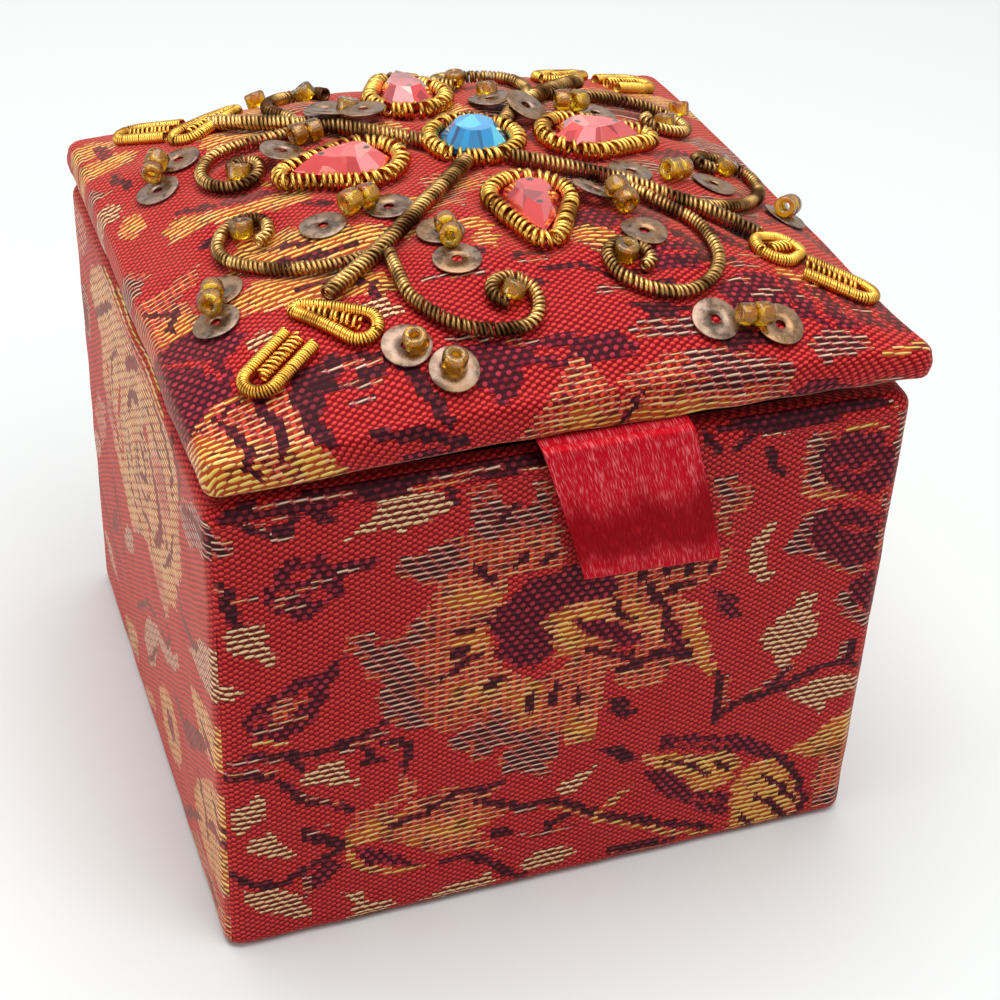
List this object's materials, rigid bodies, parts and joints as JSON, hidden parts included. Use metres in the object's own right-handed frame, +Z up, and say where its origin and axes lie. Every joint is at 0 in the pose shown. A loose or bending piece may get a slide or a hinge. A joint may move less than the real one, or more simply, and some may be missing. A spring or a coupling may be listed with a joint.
{
  "type": "embroidered keepsake box",
  "caption": "Small square cloth-covered keepsake box with a padded, embroidered lid hinged at the back and a ribbon pull tab.",
  "frame": {"origin": "centre of the base, on the surface that the box stands on", "axes": "+X to the right along the front, +Y from the front to the hinged back, +Z up"},
  "size_m": [0.06, 0.0587, 0.0614],
  "materials": {
    "brocade": "woven red brocade with gold and plum figures",
    "grey_board": "pressed grey board",
    "lining_cloth": "plain red lining cloth over card",
    "base_paper": "plain red cover paper",
    "wadding": "soft wadding",
    "satin_ribbon": "red satin",
    "blue_stone": "clear blue, faceted, foil-backed",
    "red_stone": "clear coral red, faceted, foil-backed",
    "gold_coil": "coiled gold-coloured wire",
    "bronze_coil": "coiled antique bronze wire",
    "bright_coil": "fine bright gold coil",
    "sequin": "dulled bronze-coloured metal",
    "amber_bead": "clear amber glass"
  },
  "bodies": {
    "box": {"base_board": "grey_board", "base_cover": "base_paper", "front_wall_board": "grey_board", "back_wall_board": "grey_board", "left_wall_board": "grey_board", "right_wall_board": "grey_board", "wall_brocade": "brocade", "floor_lining": "lining_cloth", "front_lining": "lining_cloth", "back_lining": "lining_cloth", "left_lining": "lining_cloth", "right_lining": "lining_cloth", "hinge_cloth_box_leaf": "brocade"},
    "lid": {"blue_stone": "blue_stone", "blue_stone_frame": "gold_coil", "check_coils": "bright_coil", "corner_hairpin_back_left": "bright_coil", "corner_hairpin_back_right": "bright_coil", "corner_hairpin_front_left": "bright_coil", "corner_hairpin_front_right": "bright_coil", "corner_loop_back_left": "bright_coil", "corner_loop_back_right": "bright_coil", "corner_loop_front_left": "bright_coil", "corner_loop_front_right": "bright_coil", "hinge_cloth_lid_leaf": "brocade", "lid_board": "grey_board", "lid_brocade": "brocade", "lid_lining": "lining_cloth", "lid_pad": "wadding", "red_stone_back": "red_stone", "red_stone_frame_back": "gold_coil", "red_stone_frame_front": "gold_coil", "red_stone_frame_left": "gold_coil", "red_stone_frame_right": "gold_coil", "red_stone_front": "red_stone", "red_stone_left": "red_stone", "red_stone_right": "red_stone", "ribbon_anchor": "satin_ribbon", "scroll_back_left": "bronze_coil", "scroll_back_right": "bronze_coil", "scroll_front_left": "bronze_coil", "scroll_front_right": "bronze_coil", "scroll_left_back": "bronze_coil", "scroll_left_front": "bronze_coil", "scroll_right_back": "bronze_coil", "scroll_right_front": "bronze_coil", "seed_beads": "amber_bead", "sequins": "sequin", "stem_back_left": "bronze_coil", "stem_back_right": "bronze_coil", "stem_front_left": "bronze_coil", "stem_front_right": "bronze_coil"},
    "tab": {"ribbon_tab": "satin_ribbon"}
  },
  "joints": [
    {"name": "lid_hinge", "type": "hinge", "parent": "box", "child": "lid", "pos_m": [0, 0.0289, 0.04775], "axis": [-1, 0, 0], "range_deg": [0, 110]},
    {"name": "tab_hinge", "type": "hinge", "parent": "lid", "child": "tab", "pos_m": [0.0027, -0.02932, 0.049], "axis": [-1, 0, 0], "range_deg": [0, 100]}
  ]
}
